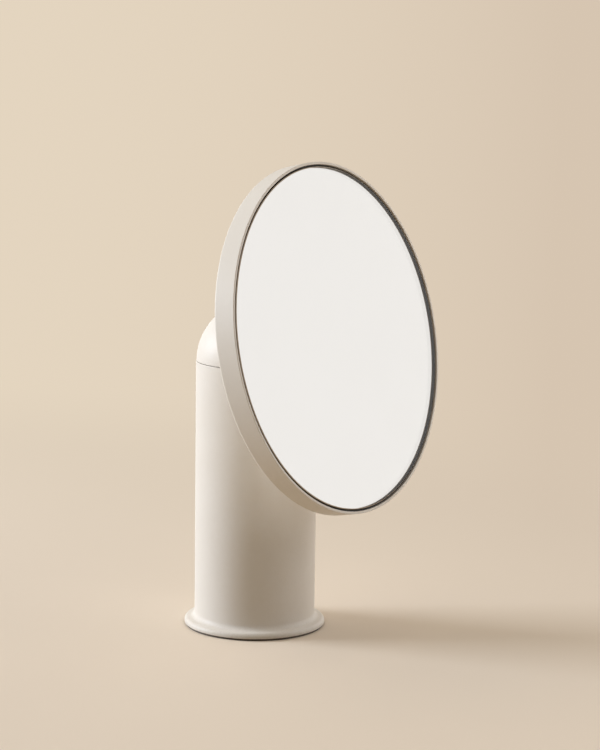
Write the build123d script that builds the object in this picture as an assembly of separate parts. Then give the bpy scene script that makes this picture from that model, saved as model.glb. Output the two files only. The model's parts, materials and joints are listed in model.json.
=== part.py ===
from build123d import *
import os
from math import cos, radians, sin, sqrt

os.makedirs("parts", exist_ok=True)

# A round table mirror on a column. The column is a storage pot. Its half-ball head lifts off as the lid,
# turns on a collar in the column's mouth, and carries the mirror on a tilting friction hinge.
# Millimetres, +Z up, the mirror looks along -Y. The origin is the middle of the foot's resting face.

# Clearances
fit_gap = 0.05          # between nested pieces that don't move on each other
running_gap = 0.05      # between pieces that turn or slide on each other
free_gap = 0.4          # between pieces that pass each other without touching

# Column and its flared foot
column_radius = 35.4
column_wall = 1.5
column_top = 156.55
foot_radius = 41.3
foot_root_height = 5.1          # where the flange's top would meet the column without its hollow
foot_edge_height = 4.1          # where the flange's top would meet its edge without its round
foot_hollow_radius = 3.0
foot_edge_round = 2.3
clamp_lip_width = 3.0
clamp_lip_thickness = 2.6
edge_break = 0.25

# Underside of the foot
pad_thickness = 1.2
pad_setback = 0.7
plate_thickness = 2.2
plate_setback = 2.9
ballast_height = 16.0
base_screw_count = 3
base_screw_circle = 20.0        # radius of the circle that the screws stand on
base_screw_radius = 2.0
base_screw_head_radius = 3.8
base_screw_length = 13.0

# Column mouth and storage cup
mouth_setback = 1.2             # mouth ring's top below the column's rim
mouth_ring_wall = 1.3
mouth_depth = 16.5
ledge_thickness = 2.0
ledge_width = 3.05              # cup's wall inside the mouth ring's bore
cup_wall = 1.2
cup_floor = 1.5
cup_rim_thickness = 1.2
cup_base_gap = 0.5
mat_thickness = 1.5

# Swivel collar
collar_wall = 1.35
collar_flange_thickness = 0.9
band_height = 3.0
band_depth = 0.6
band_lift = 2.0                 # band above the collar's lower edge
key_count = 2
key_width = 6.0
key_depth = 0.65
key_height = 6.0

# Dome head
seam_gap = 0.35
dome_inset = 0.3                # dome is this much slimmer than the column
dome_cut = 0.1                  # the rim cuts the ball this far above its centre
dome_wall = 1.5
plug_floor_thickness = 2.65
plug_inset = 0.15
spigot_wall = 1.5
spigot_lift = 1.0               # spigot's end above the collar's lower edge
lug_count = 3
lug_width = 9.0
lug_length = 11.0
lug_height = 4.0
plug_screw_margin = 1.3         # between the spigot's bore and the screws' heads
plug_screw_radius = 1.5
plug_screw_head_radius = 2.8
plug_screw_length = 6.0

# Neck stem through the dome's wall, pointing forward and up
stem_angle = 20.66
stem_radius = 4.0
stem_reach = 7.34               # from the dome's surface to the tilt axis
stem_tip_gap = 1.8              # thread that stands past the nut
shoulder_radius = 9.5
shoulder_thickness = 0.7        # over the stem's own axis
gasket_thickness = 0.8
saddle_radius = 8.5
saddle_thickness = 2.4          # over the stem's own axis
spring_washer_radius = 7.0
spring_washer_thickness = 1.4
neck_nut_flats = 13.0
neck_nut_thickness = 4.0

# Tilt hinge
tilt_rest = 12.0                # lean of the mirror at rest, from upright
tongue_width = 8.0
tongue_radius = 4.2
pivot_radius = 2.0
washer_thickness = 0.8
washer_radius = 4.0
ear_thickness = 3.0
ear_radius = 5.0
bracket_thickness = 2.0
bracket_width = 36.0
bracket_height = 32.0
bracket_corner = 5.0
pivot_to_case = 6.6
pin_head_radius = 3.4
pin_head_thickness = 1.8
pivot_nut_flats = 7.0
pivot_nut_thickness = 3.0
pin_end_length = 0.6
bracket_screw_inset = 5.0       # screws' axes from the plate's edges
bracket_screw_radius = 1.5
bracket_screw_head_radius = 2.75
bracket_screw_head_height = 1.7
bracket_screw_length = 5.2
socket_flats = 2.5
socket_depth = 1.0
head_land = 0.3                 # straight edge of a countersunk head

# Mirror disc
case_radius = 100.0
case_depth = 13.2
case_wall = 1.0
case_lip_width = 1.45           # the side wall's thickness, which shows round the mirror
case_back_round = 1.2
case_lip_round = 0.3
case_corner_round = 0.4
glass_margin = 1.22             # between the lip and the glass, filled by the gasket
glass_thickness = 3.0
glass_recess = 0.25
glass_bevel = 0.3
gasket_recess = 1.3             # gasket's face below the glass
stiffener_radius = 26.0
stiffener_thickness = 2.5
foam_margin = 1.0               # between the stiffener and the foam

# Levels and radii that follow
column_bore = column_radius - column_wall
plate_radius = foot_radius - plate_setback
plate_top = pad_thickness + plate_thickness
clamp_lip_top = plate_top + clamp_lip_thickness
ballast_top = clamp_lip_top + ballast_height
mouth_top = column_top - mouth_setback
ledge_top = mouth_top - mouth_depth
mouth_bore = column_bore - fit_gap - mouth_ring_wall
cup_radius = mouth_bore - ledge_width
cup_bottom = ballast_top + cup_base_gap
cup_rim_top = ledge_top + cup_rim_thickness
collar_radius = mouth_bore - running_gap
collar_bore = collar_radius - collar_wall
collar_bottom = cup_rim_top + free_gap
collar_flange_bottom = mouth_top + running_gap
collar_top = collar_flange_bottom + collar_flange_thickness
band_bottom = collar_bottom + band_lift
spigot_radius = collar_bore - running_gap
spigot_bore = spigot_radius - spigot_wall
plug_screw_circle = spigot_bore - plug_screw_margin - plug_screw_head_radius
plug_bottom = collar_top + running_gap
plug_top = plug_bottom + plug_floor_thickness
dome_rim = column_top + seam_gap
dome_centre = dome_rim - dome_cut
dome_radius = column_radius - dome_inset
dome_bore = dome_radius - dome_wall
pivot_distance = dome_radius + stem_reach
saddle_face = dome_bore - saddle_thickness
nut_face = saddle_face - spring_washer_thickness
stem_tip = nut_face - neck_nut_thickness - stem_tip_gap
ear_inside = tongue_width / 2 + running_gap + washer_thickness
ear_outside = ear_inside + ear_thickness
bracket_screw_x = bracket_width / 2 - bracket_screw_inset
bracket_screw_y = bracket_height / 2 - bracket_screw_inset
case_bore = case_radius - case_lip_width
glass_radius = case_bore - glass_margin
foam_bore = stiffener_radius + foam_margin
glass_face = case_depth - glass_recess
glass_back = glass_face - glass_thickness

# Frames: the stem's axis runs from the dome's centre, the disc's axis from the middle of the case's back
stem_direction = Vector(0, -cos(radians(stem_angle)), sin(radians(stem_angle)))
disc_direction = Vector(0, -cos(radians(tilt_rest)), sin(radians(tilt_rest)))
dome_middle = Vector(0, 0, dome_centre)
pivot_point = dome_middle + stem_direction * pivot_distance
stem_frame = Plane(origin=dome_middle, x_dir=(1, 0, 0), z_dir=stem_direction).location
disc_frame = Plane(
    origin=pivot_point + disc_direction * pivot_to_case, x_dir=(1, 0, 0), z_dir=disc_direction
).location


def rod(radius, low, high):
    """Upright cylinder between two levels."""
    return Pos(0, 0, (low + high) / 2) * Cylinder(radius, high - low)


def ring(bore, radius, low, high):
    """Upright tube between two levels."""
    return rod(radius, low, high) - rod(bore, low - 1, high + 1)


def cross_rod(radius, length, x, z):
    """Cylinder along X, centred at the given x and z."""
    return Pos(x, 0, z) * Rot(0, 90, 0) * Cylinder(radius, length)


def turned(*edges):
    """Solid turned about Z from a closed outline in the XZ plane."""
    return revolve(make_face(Curve() + list(edges)), axis=Axis.Z)


def section(points):
    """Outline points (radius, height) as points of the XZ plane."""
    return [(radius, 0, height) for radius, height in points]


def ball_arc(radius, centre, low):
    """Arc in the XZ plane round a centre on the axis, from the level low up to the axis."""
    middle = radius * sin(radians(45))
    foot = sqrt(radius**2 - (low - centre) ** 2)
    return ThreePointArc(*section([(foot, low), (middle, centre + middle), (0, centre + radius)]))


def around(count, radius, shape, start=0.0):
    """Copies of a shape evenly spaced on a circle."""
    return [Rot(0, 0, start + 360 / count * turn) * Pos(radius, 0, 0) * shape for turn in range(count)]


def hexagon_bar(flats, low, high):
    """Upright hexagonal bar with a flat facing along Y."""
    outline = RegularPolygon(flats / 2, 6, major_radius=False)
    return Pos(0, 0, low) * extrude(outline, high - low)


def countersunk_screw(radius, head_radius, length, growth=0.0):
    """Screw that points up from its flat head at level 0, grown all round to make its hole."""
    cone_top = head_land + head_radius - radius
    outline = section([
        (0, -growth),
        (head_radius + growth, -growth),
        (head_radius + growth, head_land),
        (radius + growth, cone_top),
        (radius + growth, length + growth),
        (0, length + growth),
    ])
    return turned(Polyline(*outline, close=True))


def socket_screw(radius, head_radius, head_height, length):
    """Screw that points up from level 0, with a rounded head below and a hexagonal socket in it."""
    head = fillet(rod(head_radius, -head_height, 0).edges().group_by(Axis.Z)[0], head_height * 0.45)
    shank = rod(radius, 0, length)
    socket = hexagon_bar(socket_flats, -head_height, socket_depth - head_height)
    return head + shank - socket


# Stand

def column_shell():
    """Column, flared foot and inner clamping lip, turned in one piece."""
    skin = FilletPolyline(
        *section([
            (column_bore, column_top),
            (column_radius, column_top),
            (column_radius, foot_root_height),
            (foot_radius, foot_edge_height),
            (foot_radius, pad_thickness),
            (plate_radius + fit_gap, pad_thickness),
        ]),
        radius=[edge_break, foot_hollow_radius, foot_edge_round, edge_break],
    )
    inside = Polyline(*section([
        (plate_radius + fit_gap, pad_thickness),
        (plate_radius + fit_gap, plate_top),
        (column_bore - clamp_lip_width, plate_top),
        (column_bore - clamp_lip_width, clamp_lip_top),
        (column_bore, clamp_lip_top),
        (column_bore, column_top),
    ]))
    return turned(skin, inside)


def base_screw_set(growth=0.0):
    screw = countersunk_screw(base_screw_radius, base_screw_head_radius, base_screw_length, growth)
    return around(base_screw_count, base_screw_circle, Pos(0, 0, pad_thickness) * screw, start=90)


def foot_pad():
    pad = rod(foot_radius - pad_setback, 0, pad_thickness)
    return chamfer(pad.edges().group_by(Axis.Z)[0], edge_break)


def base_plate():
    return rod(plate_radius, pad_thickness, plate_top) - base_screw_set(fit_gap)


def ballast_weight():
    weight = rod(column_bore - fit_gap, clamp_lip_top, ballast_top)
    boss = rod(column_bore - clamp_lip_width - fit_gap, plate_top, clamp_lip_top)
    weight = chamfer(weight.edges().group_by(Axis.Z)[-1], 4 * edge_break)
    return weight + boss - base_screw_set(fit_gap)


def base_screws():
    socket = hexagon_bar(socket_flats, 0, socket_depth)
    sockets = around(base_screw_count, base_screw_circle, Pos(0, 0, pad_thickness) * socket, start=90)
    return [screw - cut for screw, cut in zip(base_screw_set(), sockets)]


def mouth_ring():
    wall = ring(mouth_bore, column_bore - fit_gap, ledge_top - ledge_thickness, mouth_top)
    ledge = ring(cup_radius + fit_gap, mouth_bore + fit_gap, ledge_top - ledge_thickness, ledge_top)
    return wall + ledge


def storage_cup():
    """Liner that hangs by its rim from the mouth ring's ledge."""
    pot = rod(cup_radius, cup_bottom, cup_rim_top)
    pot = fillet(pot.edges().group_by(Axis.Z)[0], cup_floor)
    rim = rod(mouth_bore - free_gap, ledge_top, cup_rim_top)
    hollow = rod(cup_radius - cup_wall, cup_bottom + cup_floor, cup_rim_top + 1)
    return pot + rim - hollow


def cup_mat():
    floor = cup_bottom + cup_floor
    return rod(cup_radius - cup_wall - fit_gap, floor, floor + mat_thickness)


# Collar

def swivel_collar():
    """L-section bearing ring with a groove for the friction band and notches for the head's keys."""
    wall = ring(collar_bore, collar_radius, collar_bottom, collar_top)
    flange = ring(collar_bore, column_bore - free_gap, collar_flange_bottom, collar_top)
    groove = ring(collar_radius - band_depth, collar_radius + 1, band_bottom, band_bottom + band_height)
    notch_depth = 2 * (key_depth + free_gap / 2)
    notch = Box(notch_depth, key_width + free_gap, key_height + free_gap)
    notch = Pos(0, 0, collar_top - (key_height + free_gap) / 2) * notch
    return wall + flange - groove - around(key_count, collar_bore, notch)


def friction_band():
    outside = mouth_bore - running_gap / 2
    return ring(collar_radius - band_depth, outside, band_bottom + fit_gap, band_bottom + band_height - fit_gap)


# Head

def plug_screw_set(growth=0.0):
    screw = countersunk_screw(plug_screw_radius, plug_screw_head_radius, plug_screw_length, growth)
    return around(lug_count, plug_screw_circle, Pos(0, 0, plug_bottom) * screw, start=90)


def dome_shell():
    """Half ball with a broken edge round its rim, and the stem's hole."""
    outside = ball_arc(dome_radius, dome_centre, dome_rim + edge_break)
    inside = ball_arc(dome_bore, dome_centre, dome_rim)
    rim = Polyline(inside @ 0, *section([(dome_radius - edge_break, dome_rim)]), outside @ 0)
    crown = Line(inside @ 1, outside @ 1)
    return turned(rim, outside, crown, inside) - stem_frame * rod(stem_radius + fit_gap, 0, dome_radius + 1)


def dome_lugs():
    ball = Pos(0, 0, dome_centre) * Sphere(dome_bore - fit_gap)
    lug = Box(lug_length, lug_width, lug_height, align=(Align.MAX, Align.CENTER, Align.MIN))
    blanks = around(lug_count, dome_bore, Pos(0, 0, plug_top) * lug, start=90)
    return [(blank & ball) - hole for blank, hole in zip(blanks, plug_screw_set(fit_gap))]


def lid_plug():
    """Floor that closes the dome, with the spigot and keys that stand in the collar."""
    floor = rod(dome_bore - plug_inset, plug_bottom, plug_top)
    spigot = ring(spigot_bore, spigot_radius, collar_bottom + spigot_lift, plug_bottom)
    key = Box(2 * key_depth, key_width, key_height)
    key = Pos(0, 0, plug_bottom - key_height / 2) * key
    keys = around(key_count, spigot_radius, key)
    return floor + spigot + keys - plug_screw_set(fit_gap)


def plug_screws():
    socket = hexagon_bar(socket_flats, 0, socket_depth)
    sockets = around(lug_count, plug_screw_circle, Pos(0, 0, plug_bottom) * socket, start=90)
    return [screw - cut for screw, cut in zip(plug_screw_set(), sockets)]


def neck_stem():
    """Threaded stem with a shoulder that sits on the dome and a tongue round the tilt axis."""
    seat = dome_radius + gasket_thickness
    shoulder_top = seat + shoulder_thickness
    shaft = rod(stem_radius, stem_tip, shoulder_top)
    shoulder = rod(shoulder_radius, 0, shoulder_top) - Sphere(seat)
    tongue = Box(tongue_width, 2 * tongue_radius, pivot_distance - seat)
    tongue = Pos(0, 0, (pivot_distance + seat) / 2) * tongue
    eye = cross_rod(tongue_radius, tongue_width, 0, pivot_distance)
    bore = cross_rod(pivot_radius + running_gap, 2 * tongue_width, 0, pivot_distance)
    return stem_frame * (shaft + shoulder + tongue + eye - bore)


def neck_gasket():
    disc = ring(stem_radius + fit_gap, shoulder_radius, 0, dome_radius + gasket_thickness)
    return stem_frame * (disc & (Sphere(dome_radius + gasket_thickness) - Sphere(dome_radius)))


def saddle_washer():
    return stem_frame * (ring(stem_radius + fit_gap, saddle_radius, saddle_face, dome_bore) & Sphere(dome_bore))


def spring_washer():
    """Split ring between the saddle washer and the nut."""
    washer = ring(stem_radius + fit_gap, spring_washer_radius, nut_face, saddle_face)
    split = Box(spring_washer_radius * 2, 0.8, 4 * spring_washer_thickness)
    split = Pos(spring_washer_radius, 0, (nut_face + saddle_face) / 2) * Rot(20, 0, 0) * split
    return stem_frame * (washer - split)


def neck_nut():
    nut = hexagon_bar(neck_nut_flats, nut_face - neck_nut_thickness, nut_face)
    return stem_frame * (nut - rod(stem_radius + fit_gap, stem_tip, dome_radius))


# Mirror

def bracket_screw_places():
    return [Pos(x, y, 0) for x in (-bracket_screw_x, bracket_screw_x) for y in (-bracket_screw_y, bracket_screw_y)]


def bracket_holes(low, high):
    hole = rod(bracket_screw_radius + fit_gap, low, high)
    return [place * hole for place in bracket_screw_places()]


def hinge_bracket():
    """Plate on the case's back with two ears round the tilt axis."""
    outline = RectangleRounded(bracket_width, bracket_height, bracket_corner)
    plate = Pos(0, 0, -bracket_thickness) * extrude(outline, bracket_thickness)
    ear = Box(ear_thickness, 2 * ear_radius, pivot_to_case)
    ear = Pos(0, 0, -pivot_to_case / 2) * ear + cross_rod(ear_radius, ear_thickness, 0, -pivot_to_case)
    middle = (ear_inside + ear_outside) / 2
    ears = [Pos(side * middle, 0, 0) * ear for side in (-1, 1)]
    bore = cross_rod(pivot_radius + fit_gap, 4 * ear_outside, 0, -pivot_to_case)
    return disc_frame * (plate + ears - bore - bracket_holes(-2 * bracket_thickness, bracket_thickness))


def friction_washers():
    washer = ring(pivot_radius + fit_gap, washer_radius, 0, washer_thickness)
    inner = ear_inside - washer_thickness
    left = disc_frame * Pos(-ear_inside, 0, -pivot_to_case) * Rot(0, 90, 0) * washer
    right = disc_frame * Pos(inner, 0, -pivot_to_case) * Rot(0, 90, 0) * washer
    return [left, right]


def pivot_pin():
    """Hinge pin with a round head, which runs through both ears and the nut."""
    end = -ear_outside - pivot_nut_thickness - pin_end_length
    shank = rod(pivot_radius, end, ear_outside)
    head = rod(pin_head_radius, ear_outside, ear_outside + pin_head_thickness)
    head = fillet(head.edges().group_by(Axis.Z)[-1], pin_head_thickness * 0.4)
    top = ear_outside + pin_head_thickness
    socket = hexagon_bar(socket_flats, top - socket_depth, top)
    return disc_frame * Pos(0, 0, -pivot_to_case) * Rot(0, 90, 0) * (shank + head - socket)


def pivot_nut():
    nut = hexagon_bar(pivot_nut_flats, -ear_outside - pivot_nut_thickness, -ear_outside)
    nut = nut - rod(pivot_radius + fit_gap, -2 * ear_outside, ear_outside)
    return disc_frame * Pos(0, 0, -pivot_to_case) * Rot(0, 90, 0) * nut


def bracket_screws():
    screw = socket_screw(
        bracket_screw_radius, bracket_screw_head_radius, bracket_screw_head_height, bracket_screw_length
    )
    return [disc_frame * place * Pos(0, 0, -bracket_thickness) * screw for place in bracket_screw_places()]


def mirror_case():
    """Shallow pan: back, side wall and front lip, with the bracket screws' holes."""
    pan = FilletPolyline(
        *section([
            (0, 0),
            (case_radius, 0),
            (case_radius, case_depth),
            (case_bore, case_depth),
            (case_bore, case_wall),
            (0, case_wall),
        ]),
        radius=[case_back_round, case_lip_round, case_lip_round, case_corner_round],
    )
    axis = Line(*section([(0, case_wall), (0, 0)]))
    return disc_frame * (turned(pan, axis) - bracket_holes(-1, case_wall + 1))


def case_stiffener():
    plate = rod(stiffener_radius, case_wall, case_wall + stiffener_thickness)
    return disc_frame * (plate - bracket_holes(0, case_depth))


def foam_pad():
    pad = ring(foam_bore, case_bore - fit_gap, case_wall, glass_back)
    return disc_frame * chamfer(pad.edges().sort_by(Axis.Z)[0:2], case_corner_round)


def glass_gasket():
    return disc_frame * ring(glass_radius + fit_gap, case_bore - fit_gap, glass_back, glass_face - gasket_recess)


def mirror_glass():
    pane = rod(glass_radius, glass_back, glass_face)
    return disc_frame * chamfer(pane.edges().group_by(Axis.Z)[-1], glass_bevel)


pieces = {
    "column_shell": column_shell,
    "base_plate": base_plate,
    "ballast_weight": ballast_weight,
    "foot_pad": foot_pad,
    "base_screws": base_screws,
    "mouth_ring": mouth_ring,
    "storage_cup": storage_cup,
    "cup_mat": cup_mat,
    "swivel_collar": swivel_collar,
    "friction_band": friction_band,
    "dome_shell": dome_shell,
    "dome_lugs": dome_lugs,
    "lid_plug": lid_plug,
    "plug_screws": plug_screws,
    "neck_stem": neck_stem,
    "neck_gasket": neck_gasket,
    "saddle_washer": saddle_washer,
    "spring_washer": spring_washer,
    "neck_nut": neck_nut,
    "hinge_bracket": hinge_bracket,
    "friction_washers": friction_washers,
    "pivot_pin": pivot_pin,
    "pivot_nut": pivot_nut,
    "bracket_screws": bracket_screws,
    "mirror_case": mirror_case,
    "case_stiffener": case_stiffener,
    "foam_pad": foam_pad,
    "glass_gasket": glass_gasket,
    "mirror_glass": mirror_glass,
}

for name, make in pieces.items():
    made = make()
    shape = Compound(children=made) if isinstance(made, list) else made
    export_step(shape, f"parts/{name}.step")
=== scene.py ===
import json
from math import cos, pi, radians, sin

import bpy
import numpy as np
from mathutils import Matrix, Vector


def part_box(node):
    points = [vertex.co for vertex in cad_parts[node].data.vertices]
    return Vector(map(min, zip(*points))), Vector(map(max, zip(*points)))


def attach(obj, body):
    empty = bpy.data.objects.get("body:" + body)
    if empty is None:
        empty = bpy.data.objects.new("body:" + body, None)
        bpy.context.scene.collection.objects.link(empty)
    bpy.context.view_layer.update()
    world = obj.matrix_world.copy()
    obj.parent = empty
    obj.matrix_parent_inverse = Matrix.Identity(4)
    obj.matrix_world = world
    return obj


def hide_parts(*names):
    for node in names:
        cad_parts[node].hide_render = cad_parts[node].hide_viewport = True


# A round table mirror on a storage column, with a lift-off half-ball head. Metres, +Z up, and the mirror
# looks along -Y. The column stands on the origin.

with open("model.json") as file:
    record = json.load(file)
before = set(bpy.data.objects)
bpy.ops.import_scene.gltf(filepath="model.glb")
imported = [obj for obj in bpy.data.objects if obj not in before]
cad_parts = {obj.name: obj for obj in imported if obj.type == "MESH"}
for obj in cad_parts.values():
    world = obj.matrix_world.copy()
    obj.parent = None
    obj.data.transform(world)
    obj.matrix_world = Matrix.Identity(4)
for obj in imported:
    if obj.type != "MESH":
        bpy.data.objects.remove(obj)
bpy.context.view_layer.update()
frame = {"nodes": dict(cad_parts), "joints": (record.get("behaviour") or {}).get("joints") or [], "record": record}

MM = 0.001


# ---------------------------------------------------------------- places worked out from the frame

def joint_named(name):
    return next(joint for joint in frame["joints"] if joint["name"] == name)


MIRROR_LEAN = radians(12.0)             # the disc's lean at rest
foot_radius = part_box("column_shell")[1].x
column_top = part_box("column_shell")[1].z
pad_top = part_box("foot_pad")[1].z
case_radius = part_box("mirror_case")[1].x
glass_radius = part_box("mirror_glass")[1].x
tilt_pivot = Vector(joint_named("mirror_tilt")["pos_m"])


# ---------------------------------------------------------------- camera

FACING = radians(54.30)                 # the disc looks this far to the right of the camera
CAMERA_DISTANCE = 1.2944                # along the table, from the column's axis
CAMERA_HEIGHT = 0.3572
CAMERA_YAW = radians(1.11)
CAMERA_PITCH = radians(9.16)
CAMERA_ROLL = radians(0.75)
FOCAL_LENGTH = 108.24                   # on a frame whose long side is 36 mm
LONG_SIDE = 36.0


def toward(right, away, up):
    """Direction given as the camera's right, away from the camera along the table, and up."""
    spin = Matrix.Rotation(-FACING, 3, "Z")
    return spin @ Vector((right, away, up))


def add_camera():
    data = bpy.data.cameras.new("camera")
    data.lens = FOCAL_LENGTH
    data.sensor_width = LONG_SIDE
    camera = bpy.data.objects.new("camera", data)
    bpy.context.scene.collection.objects.link(camera)
    along = cos(CAMERA_PITCH)
    ahead = toward(sin(CAMERA_YAW) * along, cos(CAMERA_YAW) * along, -sin(CAMERA_PITCH))
    level = ahead.cross(Vector((0, 0, 1))).normalized()
    upright = level.cross(ahead)
    right = level * cos(CAMERA_ROLL) + upright * sin(CAMERA_ROLL)
    up = upright * cos(CAMERA_ROLL) - level * sin(CAMERA_ROLL)
    turn = Matrix((right, up, -ahead)).transposed().to_4x4()
    camera.matrix_world = Matrix.Translation(toward(0, -CAMERA_DISTANCE, CAMERA_HEIGHT)) @ turn
    bpy.context.scene.camera = camera


# ---------------------------------------------------------------- shader building

class Signal:
    """A shader socket that arithmetic can be done on. Each operation adds a Math node."""

    def __init__(self, finish, socket):
        self.finish = finish
        self.socket = socket

    def math(self, operation, first, second=0.0):
        return self.finish.node("ShaderNodeMath", {"operation": operation}, {0: first, 1: second})

    def __add__(self, other):
        return self.math("ADD", self, other)

    def __sub__(self, other):
        return self.math("SUBTRACT", self, other)

    def __rsub__(self, other):
        return self.math("SUBTRACT", other, self)

    def __mul__(self, other):
        return self.math("MULTIPLY", self, other)

    def __pow__(self, other):
        return self.math("POWER", self, other)

    __radd__ = __add__
    __rmul__ = __mul__


class Finish:
    """The node tree of one material or of the world, with one method that makes every node."""

    def __init__(self, owner):
        owner.use_nodes = True
        self.owner = owner
        self.tree = owner.node_tree
        self.tree.nodes.clear()

    def node(self, kind, settings=None, inputs=None, output=0):
        """Adds a node: its settings first, then its sockets' values or links. Returns one output."""
        made = self.tree.nodes.new(kind)
        for name, value in (settings or {}).items():
            setattr(made, name, value)
        for name, value in (inputs or {}).items():
            if isinstance(value, Signal):
                self.tree.links.new(value.socket, made.inputs[name])
            else:
                made.inputs[name].default_value = value
        return Signal(self, made.outputs[output]) if len(made.outputs) else None

    def place(self):
        return self.node("ShaderNodeTexCoord", output="Object")

    def height(self):
        """The height of each point above the table, in metres."""
        return self.node("ShaderNodeSeparateXYZ", inputs={0: self.place()}, output="Z")

    def noise(self, size, detail=2.0, roughness=0.5, where=None):
        """Even noise whose lumps are about size metres across, from 0 to 1."""
        place = where or self.place()
        return self.node(
            "ShaderNodeTexNoise",
            inputs={"Vector": place, "Scale": 1 / size, "Detail": detail, "Roughness": roughness},
        )

    def larger(self, first, second):
        return self.node("ShaderNodeMath", {"operation": "MAXIMUM"}, {0: first, 1: second})

    def step(self, value, low, high):
        """0 below low, 1 above high, and smooth between them."""
        return self.node(
            "ShaderNodeMapRange",
            {"interpolation_type": "SMOOTHSTEP"},
            {0: value, 1: low, 2: high, 3: 0.0, 4: 1.0},
        )

    def mix(self, amount, first, second):
        """Colour that goes from first to second as amount goes from 0 to 1."""
        return self.node("ShaderNodeMix", {"data_type": "RGBA"}, {0: amount, 6: first, 7: second}, output=2)

    def bump(self, height, depth, strength=1.0, after=None):
        """Relief that is depth metres high where height is 1."""
        inputs = {"Strength": strength, "Distance": depth, "Height": height}
        if after:
            inputs["Normal"] = after
        return self.node("ShaderNodeBump", inputs=inputs)

    def surface(self, **inputs):
        """Ends a material in a Principled shader. Names are the sockets' own, with _ for a space."""
        named = {name.replace("_", " "): value for name, value in inputs.items()}
        shader = self.node("ShaderNodeBsdfPrincipled", inputs=named)
        self.node("ShaderNodeOutputMaterial", inputs={"Surface": shader})
        return self.owner


def colour(red, green, blue):
    return (red, green, blue, 1.0)


# ---------------------------------------------------------------- finishes

LACQUER_PALE = colour(0.80, 0.765, 0.712)
LACQUER_WARM = colour(0.775, 0.735, 0.675)
DUST = colour(0.60, 0.54, 0.46)


def satin_lacquer(name, dusty_below=0.0):
    """Sprayed satin lacquer: a faint orange peel, slow drifts of tone, and handling marks in the sheen."""
    finish = Finish(bpy.data.materials.new(name))
    drift = finish.noise(0.060, detail=3)
    mottle = finish.noise(0.0035, detail=2)
    tone = finish.mix(finish.step(drift * 0.8 + mottle * 0.2, 0.35, 0.65), LACQUER_PALE, LACQUER_WARM)
    if dusty_below:
        speckle = finish.noise(0.0012, detail=3)
        dust = (1 - finish.step(finish.height(), 0.0, dusty_below)) * finish.step(speckle, 0.45, 0.75) * 0.35
        tone = finish.mix(dust, tone, DUST)
    smears = finish.step(finish.noise(0.022, detail=4, roughness=0.6), 0.45, 0.75)
    peel = finish.noise(0.0011, detail=1)
    grain = finish.noise(0.00028, detail=2)
    relief = finish.bump(peel, 0.000035)
    relief = finish.bump(grain, 0.000010, after=relief)
    return finish.surface(
        Base_Color=tone,
        Roughness=smears * 0.07 + grain * 0.05 + 0.44,
        Normal=relief,
        Specular_IOR_Level=0.27,
    )


def silver_back():
    """Silver on the back of the glass, seen through it: even, with a breath of uneven tone."""
    finish = Finish(bpy.data.materials.new("silver_back"))
    drift = finish.noise(0.050, detail=3)
    tone = finish.mix(drift, colour(0.965, 0.965, 0.960), colour(0.945, 0.945, 0.935))
    return finish.surface(Base_Color=tone, Metallic=1.0, Roughness=drift * 0.004 + 0.002)


def clear_glass():
    """Face of the mirror's glass: polished, with a breath of haze, wiping marks and specks of dust."""
    finish = Finish(bpy.data.materials.new("clear_glass"))
    haze = finish.noise(0.045, detail=4, roughness=0.65)
    stretch = finish.node(
        "ShaderNodeMapping",
        inputs={"Vector": finish.place(), "Rotation": (0.3, 0.7, 0.2), "Scale": (1, 9, 1)},
    )
    wiping = finish.noise(0.012, detail=3, where=stretch)
    speck = finish.node("ShaderNodeTexVoronoi", inputs={"Vector": finish.place(), "Scale": 160.0})
    dust = (1 - finish.step(speck, 0.02, 0.05)) * finish.step(haze, 0.5, 0.6)
    rough = finish.step(haze * 0.6 + wiping * 0.4, 0.42, 0.70) * 0.03 + dust * 0.3
    return finish.surface(
        Base_Color=finish.mix(dust * 0.35, colour(0.995, 1.0, 0.995), colour(0.80, 0.78, 0.74)),
        Roughness=rough + 0.002,
        IOR=1.52,
        Transmission_Weight=1.0,
    )


def ground_glass(name, tone):
    """Ground glass of the mirror's edge: dull, with fine grinding marks."""
    finish = Finish(bpy.data.materials.new(name))
    marks = finish.noise(0.0005, detail=3)
    paler = tuple(channel * 1.35 for channel in tone[:3]) + (1.0,)
    return finish.surface(
        Base_Color=finish.mix(marks, tone, paler),
        Roughness=marks * 0.2 + 0.6,
        Normal=finish.bump(marks, 0.00002),
        Specular_IOR_Level=0.2,
    )


def dark_rubber(name, tone, size=0.0006, dullness=0.62):
    """Moulded rubber: nearly black, with a fine moulded grain."""
    finish = Finish(bpy.data.materials.new(name))
    grain = finish.noise(size, detail=3)
    bloom = finish.step(finish.noise(0.012, detail=3), 0.4, 0.8)
    paler = tuple(channel * 1.8 + 0.01 for channel in tone[:3]) + (1.0,)
    return finish.surface(
        Base_Color=finish.mix(bloom * 0.5 + grain * 0.2, tone, paler),
        Roughness=grain * 0.2 + dullness,
        Normal=finish.bump(grain, 0.00002),
    )


def turned_steel(name):
    """Zinc-plated steel: fine scratches in the sheen and a slightly uneven grey."""
    finish = Finish(bpy.data.materials.new(name))
    stretch = finish.node("ShaderNodeMapping", inputs={"Vector": finish.place(), "Scale": (1, 14, 14)})
    lines = finish.noise(0.002, detail=4, where=stretch)
    cloud = finish.noise(0.004, detail=2)
    tone = finish.mix(cloud, colour(0.50, 0.49, 0.47), colour(0.63, 0.62, 0.60))
    return finish.surface(
        Base_Color=tone,
        Metallic=1.0,
        Roughness=0.24 + lines * 0.16 + cloud * 0.06,
        Normal=finish.bump(lines, 0.000012),
    )


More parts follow.
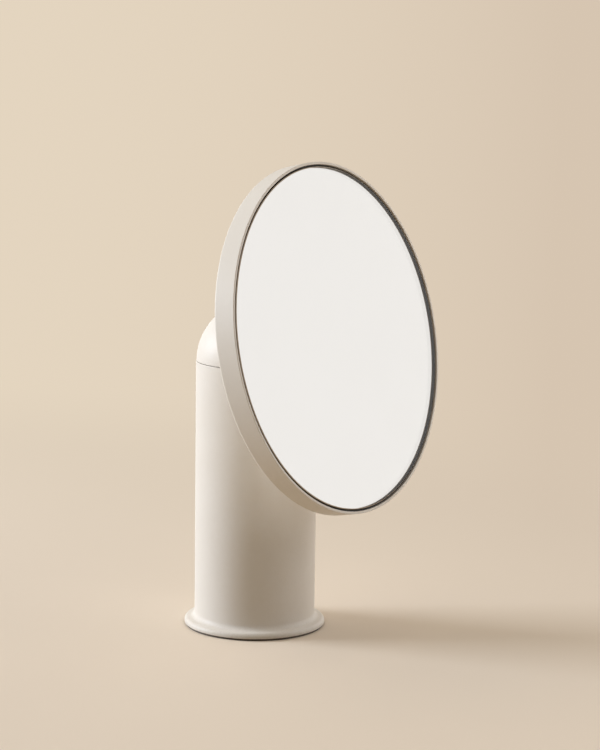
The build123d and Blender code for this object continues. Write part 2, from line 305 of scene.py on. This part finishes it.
def moulded_plastic(name, tone):
    """Moulded plastic: a fine spark-eroded grain and a soft sheen."""
    finish = Finish(bpy.data.materials.new(name))
    grain = finish.noise(0.0004, detail=2)
    drift = finish.noise(0.03, detail=2)
    paler = tuple(min(1.0, channel * 1.12) for channel in tone[:3]) + (1.0,)
    return finish.surface(
        Base_Color=finish.mix(drift, tone, paler),
        Roughness=0.44 + grain * 0.14,
        Normal=finish.bump(grain, 0.00002),
    )


def cast_iron():
    """Bare casting: dark, coarse and dull."""
    finish = Finish(bpy.data.materials.new("cast_iron"))
    pits = finish.noise(0.0015, detail=5, roughness=0.7)
    return finish.surface(
        Base_Color=finish.mix(pits, colour(0.06, 0.06, 0.06), colour(0.16, 0.15, 0.14)),
        Metallic=0.6,
        Roughness=0.55 + pits * 0.3,
        Normal=finish.bump(pits, 0.00025),
    )


def wool_felt(name, tone):
    """Felt or foam: tangled short fibres, with no shine."""
    finish = Finish(bpy.data.materials.new(name))
    fibres = finish.noise(0.0007, detail=6, roughness=0.8)
    paler = tuple(min(1.0, channel * 1.5) for channel in tone[:3]) + (1.0,)
    return finish.surface(
        Base_Color=finish.mix(fibres, tone, paler),
        Roughness=0.95,
        Sheen_Weight=0.25,
        Normal=finish.bump(fibres, 0.0002),
    )


# ---------------------------------------------------------------- surfaces

ARC_STEPS = 8                           # faces round each rounded corner
SUPPORT = 0.15 * MM                     # rows this close to a corner keep the flats beside it flat
AROUND = 256                            # faces round each turned piece


def corner_points(before, corner, after, radius):
    """An arc of the given radius that touches both sides of a corner, as an array of points.

    The arc starts radius / tan(half the corner's angle) from the corner along one side, ends as far along
    the other, and its centre lies radius / sin(half the angle) along the line that halves the corner.
    Both ends get a supporting point a little way along their side."""
    back = (before - corner) / np.linalg.norm(before - corner)
    on = (after - corner) / np.linalg.norm(after - corner)
    half = np.arccos(np.clip(back @ on, -1, 1)) / 2
    reach = radius / np.tan(half)
    middle = (back + on) / np.linalg.norm(back + on)
    centre = corner + middle * radius / np.sin(half)
    start = corner + back * reach - centre
    end = corner + on * reach - centre
    sweep = pi - 2 * half
    turn = np.sign(start[0] * end[1] - start[1] * end[0])
    angle = np.linspace(0, sweep, ARC_STEPS + 1) * turn
    arc = np.stack([
        centre[0] + start[0] * np.cos(angle) - start[1] * np.sin(angle),
        centre[1] + start[0] * np.sin(angle) + start[1] * np.cos(angle),
    ], axis=1)
    return np.vstack([corner + back * (reach + SUPPORT), arc, corner + on * (reach + SUPPORT)])


def outline(corners):
    """Closed outline of a turned piece from (radius, height, rounding) corners, each rounded by its arc."""
    points = np.array([corner[:2] for corner in corners], float)
    rows = []
    for index, (*_, rounding) in enumerate(corners):
        if rounding:
            before = points[index - 1]
            after = points[(index + 1) % len(points)]
            rows.append(corner_points(before, points[index], after, rounding))
        else:
            rows.append(points[index][None, :])
    return np.vstack(rows)


def turned(name, profile, finish, placing=None, around=AROUND):
    """Surface of revolution: the point at turn t and outline place s is (r(s) cos t, r(s) sin t, z(s)).

    The outline is closed. Where it runs along the axis it is left open, and each end becomes one pole."""
    area = np.sum(profile[:, 0] * np.roll(profile[:, 1], -1) - np.roll(profile[:, 0], -1) * profile[:, 1])
    if area < 0:
        profile = profile[::-1]
    on_axis = profile[:, 0] < 1e-9
    closed = not on_axis.any()
    if not closed:
        first = int(np.flatnonzero(on_axis & ~np.roll(on_axis, -1))[0])
        profile = np.roll(profile, -first, axis=0)
        profile = profile[: int(np.flatnonzero(profile[1:, 0] < 1e-9)[0]) + 2]
    turn = np.linspace(0, 2 * pi, around, endpoint=False)
    radius, height = profile[:, 0], profile[:, 1]
    grid = np.stack([
        np.outer(radius, np.cos(turn)),
        np.outer(radius, np.sin(turn)),
        np.outer(height, np.ones(around)),
    ], axis=-1)
    rows = len(profile)
    if closed:
        coordinates = grid.reshape(-1, 3)
        low = np.arange(rows)
        faces = strips(low, np.roll(low, -1), around, 0)
    else:
        inner = grid[1:-1].reshape(-1, 3)
        coordinates = np.vstack([grid[0, :1], inner, grid[-1, :1]])
        low = np.arange(rows - 3)
        faces = strips(low, low + 1, around, 1)
        column = np.arange(around)
        beside = (column + 1) % around
        start = np.stack([np.zeros(around, int), 1 + beside, 1 + column], axis=1)
        last_row = 1 + (rows - 3) * around
        end = np.stack([last_row + column, last_row + beside, np.full(around, len(coordinates) - 1)], axis=1)
        faces = faces + start.tolist() + end.tolist()
    return add_mesh(name, coordinates, faces, finish, placing)


def strips(low, high, around, offset):
    """Four-cornered faces between rows low and high of a grid that closes round."""
    column = np.arange(around)
    beside = (column + 1) % around
    first = offset + low[:, None] * around + column
    second = offset + low[:, None] * around + beside
    third = offset + high[:, None] * around + beside
    fourth = offset + high[:, None] * around + column
    return np.stack([first, second, third, fourth], axis=-1).reshape(-1, 4).tolist()


def add_mesh(name, coordinates, faces, finish, placing=None):
    """Puts points and faces into a smooth mesh object at the origin, placed by its own vertices."""
    if placing is not None:
        turn = np.array(placing.to_3x3())
        coordinates = coordinates @ turn.T + np.array(placing.translation)
    mesh = bpy.data.meshes.new(name)
    mesh.from_pydata(coordinates.tolist(), [], faces)
    mesh.polygons.foreach_set("use_smooth", np.ones(len(mesh.polygons), bool))
    mesh.materials.append(finish)
    mesh.update()
    made = bpy.data.objects.new(name, mesh)
    bpy.context.scene.collection.objects.link(made)
    return made


# ---------------------------------------------------------------- stage

FLOOR_REACH = 200.0
PAPER_LIT = colour(0.838, 0.738, 0.622)         # the paper as it is seen
PAPER_BOUNCE = colour(0.545, 0.445, 0.330)      # the light it throws back on the object is warmer
PAPER_PAINTED_SHADE = 0.14                              # painted shade: how much darker the paper is painted behind and to the right
# Backdrop colours: the right one is darker, as painted shade where the light falls off
BACKDROP_LEFT = colour(0.775, 0.665, 0.525)
BACKDROP_RIGHT_SHADED = colour(0.675, 0.560, 0.440)
PICTURE_HALF = 0.133                            # half the picture's width, as a share of the distance
CARD_GLOW = colour(0.910, 0.880, 0.855)
CARD_FILL = 1.0                                 # how much more the card gives to dull surfaces
CARD_CENTRE = (0.95, 0.36, 0.48)                # right, away and up, as toward takes them
CARD_FACE = (-0.93, -0.36, 0.0)
CARD_HALF_WIDTH = 0.85
CARD_HALF_HEIGHT = 0.48
# Where the painted shade on the paper starts and where it is full
PAINTED_SHADE_BEARING = (0.6, 0.5, 0)
PAINTED_SHADE_START = -0.05
PAINTED_SHADE_FULL = 0.35
BACKDROP_BEARING = (0.35, 1, 0)
BACKDROP_START = -0.02                          # metres behind the object
BACKDROP_FULL = 0.8
ROUND_START = 0.5                               # metres from the object, on its other sides
ROUND_FULL = 1.4
KEY_BEHIND = radians(8.8)
KEY_HEIGHT = radians(20)
KEY_DISTANCE = 2.2
KEY_WIDTH = 0.95
KEY_TALL = 0.55
KEY_POWER = 37.8
KEY_TINT = (1.0, 1.09, 1.22)
FILL_DISTANCE = 1.5
FILL_WIDTH = 0.8
FILL_TALL = 0.5
FILL_POWER = 2.4
FILL_TINT = (1.0, 0.95, 0.92)
FILL_BEARING = (0.80, -0.50, 0.85)
OVERHEAD_BEARING = (-0.50, 0.25, 0.82)
OVERHEAD_TINT = colour(1.0, 0.88, 0.72)
OVERHEAD_POWER = 1.15
OVERHEAD_NARROWING = 2.5
OVERHEAD_LEAST = 0.01
SHEEN_DIMMING = 0.7                             # how much sheens lose of the backdrop behind the camera


def rays_that_see(finish):
    """1 for rays that show a surface, straight or in a reflection, and 0 for rays that light things."""
    camera_ray = finish.node("ShaderNodeLightPath", output="Is Camera Ray")
    glossy_ray = finish.node("ShaderNodeLightPath", output="Is Glossy Ray")
    transmission_ray = finish.node("ShaderNodeLightPath", output="Is Transmission Ray")
    return finish.larger(finish.larger(camera_ray, glossy_ray), transmission_ray)


def dot(finish, where, direction):
    settings = {"operation": "DOT_PRODUCT"}
    return finish.node("ShaderNodeVectorMath", settings, {0: where, 1: direction}, output="Value")


def backdrop_tone(finish, where):
    """Backdrop colour with painted shade: darker towards the right of the picture. where starts at the camera."""
    side = dot(finish, where, toward(1, 0, 0))
    away = finish.node("ShaderNodeMath", {"operation": "ABSOLUTE"}, {0: dot(finish, where, toward(0, 1, 0))})
    share = finish.node("ShaderNodeMath", {"operation": "DIVIDE"}, {0: side, 1: away})
    across = finish.node(
        "ShaderNodeMapRange", inputs={0: share, 1: -PICTURE_HALF, 2: PICTURE_HALF, 3: 0.0, 4: 1.0}
    )
    return finish.mix(across ** 2, BACKDROP_LEFT, BACKDROP_RIGHT_SHADED)


def add_plane(name, corners, finish):
    mesh = bpy.data.meshes.new(name)
    mesh.from_pydata(corners, [], [(0, 1, 2, 3)])
    mesh.materials.append(finish)
    plane = bpy.data.objects.new(name, mesh)
    bpy.context.scene.collection.objects.link(plane)
    return plane


def add_floor():
    """Pale paper floor, painted darker behind and to the right as painted shade, that goes over into the plain
    backdrop behind the object.
    """
    finish = Finish(bpy.data.materials.new("paper_floor"))
    cloud = finish.noise(0.25, detail=3)
    tooth = finish.noise(0.0012, detail=2)
    worn = cloud * 0.03 + tooth * 0.03
    # Painted shade: the paper is painted darker behind the object and to its right, where the light falls off
    painted_shade = finish.step(dot(finish, finish.place(), toward(*PAINTED_SHADE_BEARING)), PAINTED_SHADE_START, PAINTED_SHADE_FULL)
    seen = finish.mix(worn + painted_shade * PAPER_PAINTED_SHADE, PAPER_LIT, colour(0, 0, 0))
    paper = finish.node(
        "ShaderNodeBsdfDiffuse", inputs={"Color": finish.mix(rays_that_see(finish), PAPER_BOUNCE, seen)}
    )
    here = finish.place()
    from_camera = finish.node(
        "ShaderNodeVectorMath", {"operation": "SUBTRACT"}, {0: here, 1: toward(0, -CAMERA_DISTANCE, 0)}
    )
    tone = backdrop_tone(finish, from_camera)
    plain = finish.node("ShaderNodeEmission", inputs={"Color": tone, "Strength": 1.0})
    behind = finish.step(dot(finish, here, toward(*BACKDROP_BEARING)), BACKDROP_START, BACKDROP_FULL)
    reach = finish.node("ShaderNodeVectorMath", {"operation": "LENGTH"}, {0: here}, output="Value")
    round_about = finish.step(reach, ROUND_START, ROUND_FULL)
    far = finish.larger(behind, round_about)
    both = finish.node("ShaderNodeMixShader", inputs={0: far, 1: paper, 2: plain})
    finish.node("ShaderNodeOutputMaterial", inputs={"Surface": both})
    corners = [(-FLOOR_REACH, -FLOOR_REACH, 0), (FLOOR_REACH, -FLOOR_REACH, 0)]
    corners += [(FLOOR_REACH, FLOOR_REACH, 0), (-FLOOR_REACH, FLOOR_REACH, 0)]
    add_plane("floor", corners, finish.owner)


def add_card():
    """Glowing white card that the mirror shows. The camera doesn't see the card itself."""
    finish = Finish(bpy.data.materials.new("white_card"))
    lights_things = finish.node("ShaderNodeLightPath", output="Is Diffuse Ray")
    strength = lights_things * CARD_FILL + 1
    glow = finish.node("ShaderNodeEmission", inputs={"Color": CARD_GLOW, "Strength": strength})
    finish.node("ShaderNodeOutputMaterial", inputs={"Surface": glow})
    centre = toward(*CARD_CENTRE)
    face = toward(*CARD_FACE)
    across = Vector((0, 0, 1)).cross(face).normalized() * CARD_HALF_WIDTH
    up = Vector((0, 0, CARD_HALF_HEIGHT))
    corners = [centre - across - up, centre + across - up, centre + across + up, centre - across + up]
    card = add_plane("card", corners, finish.owner)
    card.visible_camera = False
    card.visible_shadow = False


def add_lamp(name, bearing, distance, width, tall, power, tint):
    """Soft rectangular lamp that faces the object's foot from a distance along a bearing."""
    data = bpy.data.lights.new(name, "AREA")
    data.shape = "RECTANGLE"
    data.size = width
    data.size_y = tall
    data.energy = power
    data.color = tint
    lamp = bpy.data.objects.new(name, data)
    turn = bearing.to_track_quat("Z", "Y").to_matrix().to_4x4()
    lamp.matrix_world = Matrix.Translation(bearing.normalized() * distance) @ turn
    bpy.context.scene.collection.objects.link(lamp)
    return lamp


def add_lamps():
    """Large soft key to the object's left and a little behind it, and a weak fill from the right."""
    level = cos(KEY_HEIGHT)
    key = toward(-cos(KEY_BEHIND) * level, sin(KEY_BEHIND) * level, sin(KEY_HEIGHT))
    add_lamp("key", key, KEY_DISTANCE, KEY_WIDTH, KEY_TALL, KEY_POWER, KEY_TINT)
    bearing = toward(*FILL_BEARING)
    fill = add_lamp("fill", bearing, FILL_DISTANCE, FILL_WIDTH, FILL_TALL, FILL_POWER, FILL_TINT)
    fill.visible_glossy = False


def add_world():
    """Soft overhead light for the surfaces, and the plain backdrop for what sees the world itself."""
    world = bpy.data.worlds.new("studio")
    bpy.context.scene.world = world
    finish = Finish(world)
    direction = finish.node("ShaderNodeTexCoord", output="Generated")
    overhead = toward(*OVERHEAD_BEARING).normalized()
    facing = finish.larger(dot(finish, direction, overhead), 0.0)
    strength = facing ** OVERHEAD_NARROWING * OVERHEAD_POWER + OVERHEAD_LEAST
    soft = finish.node("ShaderNodeBackground", inputs={"Color": OVERHEAD_TINT, "Strength": strength})
    in_sheen = finish.node("ShaderNodeLightPath", output="Is Glossy Ray")
    behind_camera = 1 - finish.step(dot(finish, direction, toward(0, 1, 0)), -0.5, 0.1)
    dimmed = 1 - in_sheen * behind_camera * SHEEN_DIMMING
    tone = backdrop_tone(finish, direction)
    plain = finish.node("ShaderNodeBackground", inputs={"Color": tone, "Strength": dimmed})
    both = finish.node("ShaderNodeMixShader", inputs={0: rays_that_see(finish), 1: soft, 2: plain})
    finish.node("ShaderNodeOutputWorld", inputs={"Surface": both})


# ---------------------------------------------------------------- pieces

def disc_placing():
    """Puts a piece built about +Z, back face at 0, in the disc's place: along -Y and leaning back."""
    out = Vector((0, -cos(MIRROR_LEAN), sin(MIRROR_LEAN)))
    up = Vector((0, sin(MIRROR_LEAN), cos(MIRROR_LEAN)))
    turn = Matrix((Vector((1, 0, 0)), up, out)).transposed().to_4x4()
    return Matrix.Translation(tilt_pivot + out * PIVOT_TO_CASE) @ turn


COLUMN_RADIUS = 35.4 * MM
COLUMN_WALL = 1.5 * MM
CLAMP_LIP_WIDTH = 3.0 * MM
CLAMP_LIP_THICKNESS = 2.6 * MM
PLATE_THICKNESS = 2.2 * MM
PLATE_SETBACK = 2.9 * MM
FOOT_ROOT = 5.1 * MM                    # where the flange's top would meet the column without its hollow
FOOT_EDGE = 4.1 * MM                    # where the flange's top would meet its edge without its round
FOOT_HOLLOW = 3.0 * MM
FOOT_ROUND = 2.3 * MM
DUSTY_BELOW = 0.012
EDGE_BREAK = 0.25 * MM
EDGE_SOFTENING = 0.3 * MM
INNER_SOFTENING = 0.2 * MM
FIT_GAP = 0.05 * MM
PIVOT_TO_CASE = 6.6 * MM
CASE_DEPTH = 13.2 * MM
CASE_WALL = 1.0 * MM
CASE_LIP = 1.45 * MM                    # the side wall's thickness, which shows round the mirror
CASE_BACK_ROUND = 1.2 * MM
CASE_FLOOR_ROUND = 0.4 * MM
GLASS_RECESS = 0.25 * MM
GLASS_THICKNESS = 3.0 * MM
GLASS_CHAMFER = 0.45 * MM
GLASS_SOFTENING = 0.1 * MM
CHAMFER_FROM = radians(20)              # lean of the faces that are ground, away from the mirror's own
EDGE_FROM = radians(70)
SILVER_HEIGHT = 0.06 * MM               # above the glass's back
SILVER_SETBACK = 0.1 * MM
GASKET_RECESS = 1.3 * MM                # below the glass's face
GASKET_ROUND = 0.3 * MM
DOME_WALL = 1.5 * MM
DOME_STEPS = 64


def add_column(lacquer):
    """Column with its flared foot and the clamping lip inside."""
    bore = COLUMN_RADIUS - COLUMN_WALL
    lip = bore - CLAMP_LIP_WIDTH
    plate = foot_radius - PLATE_SETBACK
    plate_top = pad_top + PLATE_THICKNESS
    lip_top = plate_top + CLAMP_LIP_THICKNESS
    corners = [
        (bore, column_top, EDGE_BREAK),
        (COLUMN_RADIUS, column_top, EDGE_SOFTENING),
        (COLUMN_RADIUS, FOOT_ROOT, FOOT_HOLLOW),
        (foot_radius, FOOT_EDGE, FOOT_ROUND),
        (foot_radius, pad_top, EDGE_SOFTENING),
        (plate, pad_top, INNER_SOFTENING),
        (plate, plate_top, 0),
        (lip, plate_top, 0),
        (lip, lip_top, 0),
        (bore, lip_top, 0),
    ]
    column = turned("column", outline(corners[::-1]), lacquer)
    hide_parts("column_shell")
    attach(column, "stand")


def add_case(lacquer):
    """Shallow round pan that the mirror lies in."""
    bore = case_radius - CASE_LIP
    corners = [
        (0, 0, 0),
        (case_radius, 0, CASE_BACK_ROUND),
        (case_radius, CASE_DEPTH, EDGE_SOFTENING),
        (bore, CASE_DEPTH, EDGE_BREAK),
        (bore, CASE_WALL, CASE_FLOOR_ROUND),
        (0, CASE_WALL, 0),
    ]
    case = turned("case", outline(corners), lacquer, disc_placing())
    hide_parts("mirror_case")
    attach(case, "mirror")


def add_glass(face_finish, chamfer_finish, edge_finish, silver):
    """Mirror pane: clear glass with a ground and chamfered edge, and the silver on its back."""
    face = CASE_DEPTH - GLASS_RECESS
    back = face - GLASS_THICKNESS
    corners = [
        (0, back, 0),
        (glass_radius, back, INNER_SOFTENING),
        (glass_radius, face - GLASS_CHAMFER, GLASS_SOFTENING),
        (glass_radius - GLASS_CHAMFER, face, GLASS_SOFTENING),
        (0, face, 0),
    ]
    glass = turned("mirror_pane", outline(corners), face_finish, disc_placing())
    glass.data.materials.append(chamfer_finish)
    glass.data.materials.append(edge_finish)
    normals = np.empty(len(glass.data.polygons) * 3)
    glass.data.polygons.foreach_get("normal", normals)
    out = np.array(disc_placing().to_3x3().col[2])
    rise = normals.reshape(-1, 3) @ out
    places = (rise < cos(CHAMFER_FROM)).astype(np.int32) + (rise < cos(EDGE_FROM))
    glass.data.polygons.foreach_set("material_index", places.astype(np.int32))
    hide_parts("mirror_glass")
    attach(glass, "mirror")
    reach = glass_radius - SILVER_SETBACK
    under = back + SILVER_HEIGHT / 2
    over = back + SILVER_HEIGHT
    flat = reach - SUPPORT
    profile = np.array([(0, under), (flat, under), (reach, under), (reach, over), (flat, over), (0, over)])
    layer = turned("mirror_silver", profile, silver, disc_placing())
    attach(layer, "mirror")


def add_gasket(rubber):
    """Rubber strip down in the groove between the glass and the case's lip."""
    face = CASE_DEPTH - GLASS_RECESS
    inside = glass_radius + FIT_GAP
    outside = case_radius - CASE_LIP - FIT_GAP
    corners = [
        (inside, face - GLASS_THICKNESS, 0),
        (outside, face - GLASS_THICKNESS, 0),
        (outside, face - GASKET_RECESS, GASKET_ROUND),
        (inside, face - GASKET_RECESS, GASKET_ROUND),
    ]
    gasket = turned("glass_surround", outline(corners), rubber, disc_placing())
    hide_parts("glass_gasket")
    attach(gasket, "mirror")


def add_dome(lacquer):
    """Half-ball shell: outside and inside are arcs about one centre, from the rim up to the axis."""
    low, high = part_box("dome_shell")
    radius = high.x
    rim = low.z
    centre = high.z - radius
    bore = radius - DOME_WALL
    rise = np.linspace(0, pi / 2, DOME_STEPS + 1)[1:-1]
    outside = np.stack([radius * np.cos(rise), centre + radius * np.sin(rise)], axis=1)
    inside = np.stack([bore * np.cos(rise), centre + bore * np.sin(rise)], axis=1)[::-1]
    edge = outline([(bore, rim, 0), (radius, rim, EDGE_BREAK), (*outside[0], 0)])
    profile = np.vstack([edge, outside[1:], [(0, centre + radius), (0, centre + bore)], inside])
    dome = turned("dome", profile, lacquer)
    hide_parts("dome_shell")
    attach(dome, "head")


def dress(node, finish):
    """Gives a CAD node its finish."""
    mesh = frame["nodes"][node].data
    mesh.materials.clear()
    mesh.materials.append(finish)


bpy.context.scene.view_settings.view_transform = "Standard"
add_camera()
add_world()
add_lamps()
add_floor()
add_card()

lacquer = satin_lacquer("satin_lacquer")
column_lacquer = satin_lacquer("column_lacquer", dusty_below=DUSTY_BELOW)
silver = silver_back()
gasket_rubber = dark_rubber("gasket_rubber", colour(0.020, 0.016, 0.013), dullness=0.5)
pad_rubber = dark_rubber("pad_rubber", colour(0.10, 0.085, 0.07))
steel = turned_steel("plated_steel")
ring_plastic = moulded_plastic("ring_plastic", colour(0.50, 0.46, 0.40))
cup_plastic = moulded_plastic("cup_plastic", colour(0.60, 0.55, 0.48))
felt = wool_felt("grey_felt", colour(0.30, 0.27, 0.235))
foam = wool_felt("pale_foam", colour(0.42, 0.41, 0.39))
iron = cast_iron()

add_column(column_lacquer)
add_case(lacquer)
chamfer = ground_glass("ground_chamfer", colour(0.50, 0.42, 0.33))
edge = ground_glass("sealed_edge", colour(0.040, 0.036, 0.030))
add_glass(clear_glass(), chamfer, edge, silver)
add_gasket(gasket_rubber)
add_dome(lacquer)

slot_finishes = {
    "lacquer": lacquer,
    "silvered_glass": silver,
    "gasket_rubber": gasket_rubber,
    "pad_rubber": pad_rubber,
    "steel": steel,
    "iron": iron,
    "ring_plastic": ring_plastic,
    "cup_plastic": cup_plastic,
    "felt": felt,
    "foam": foam,
}
for part in frame["record"]["subparts"]:
    dress(part["node"], slot_finishes[part["material_slot"]])
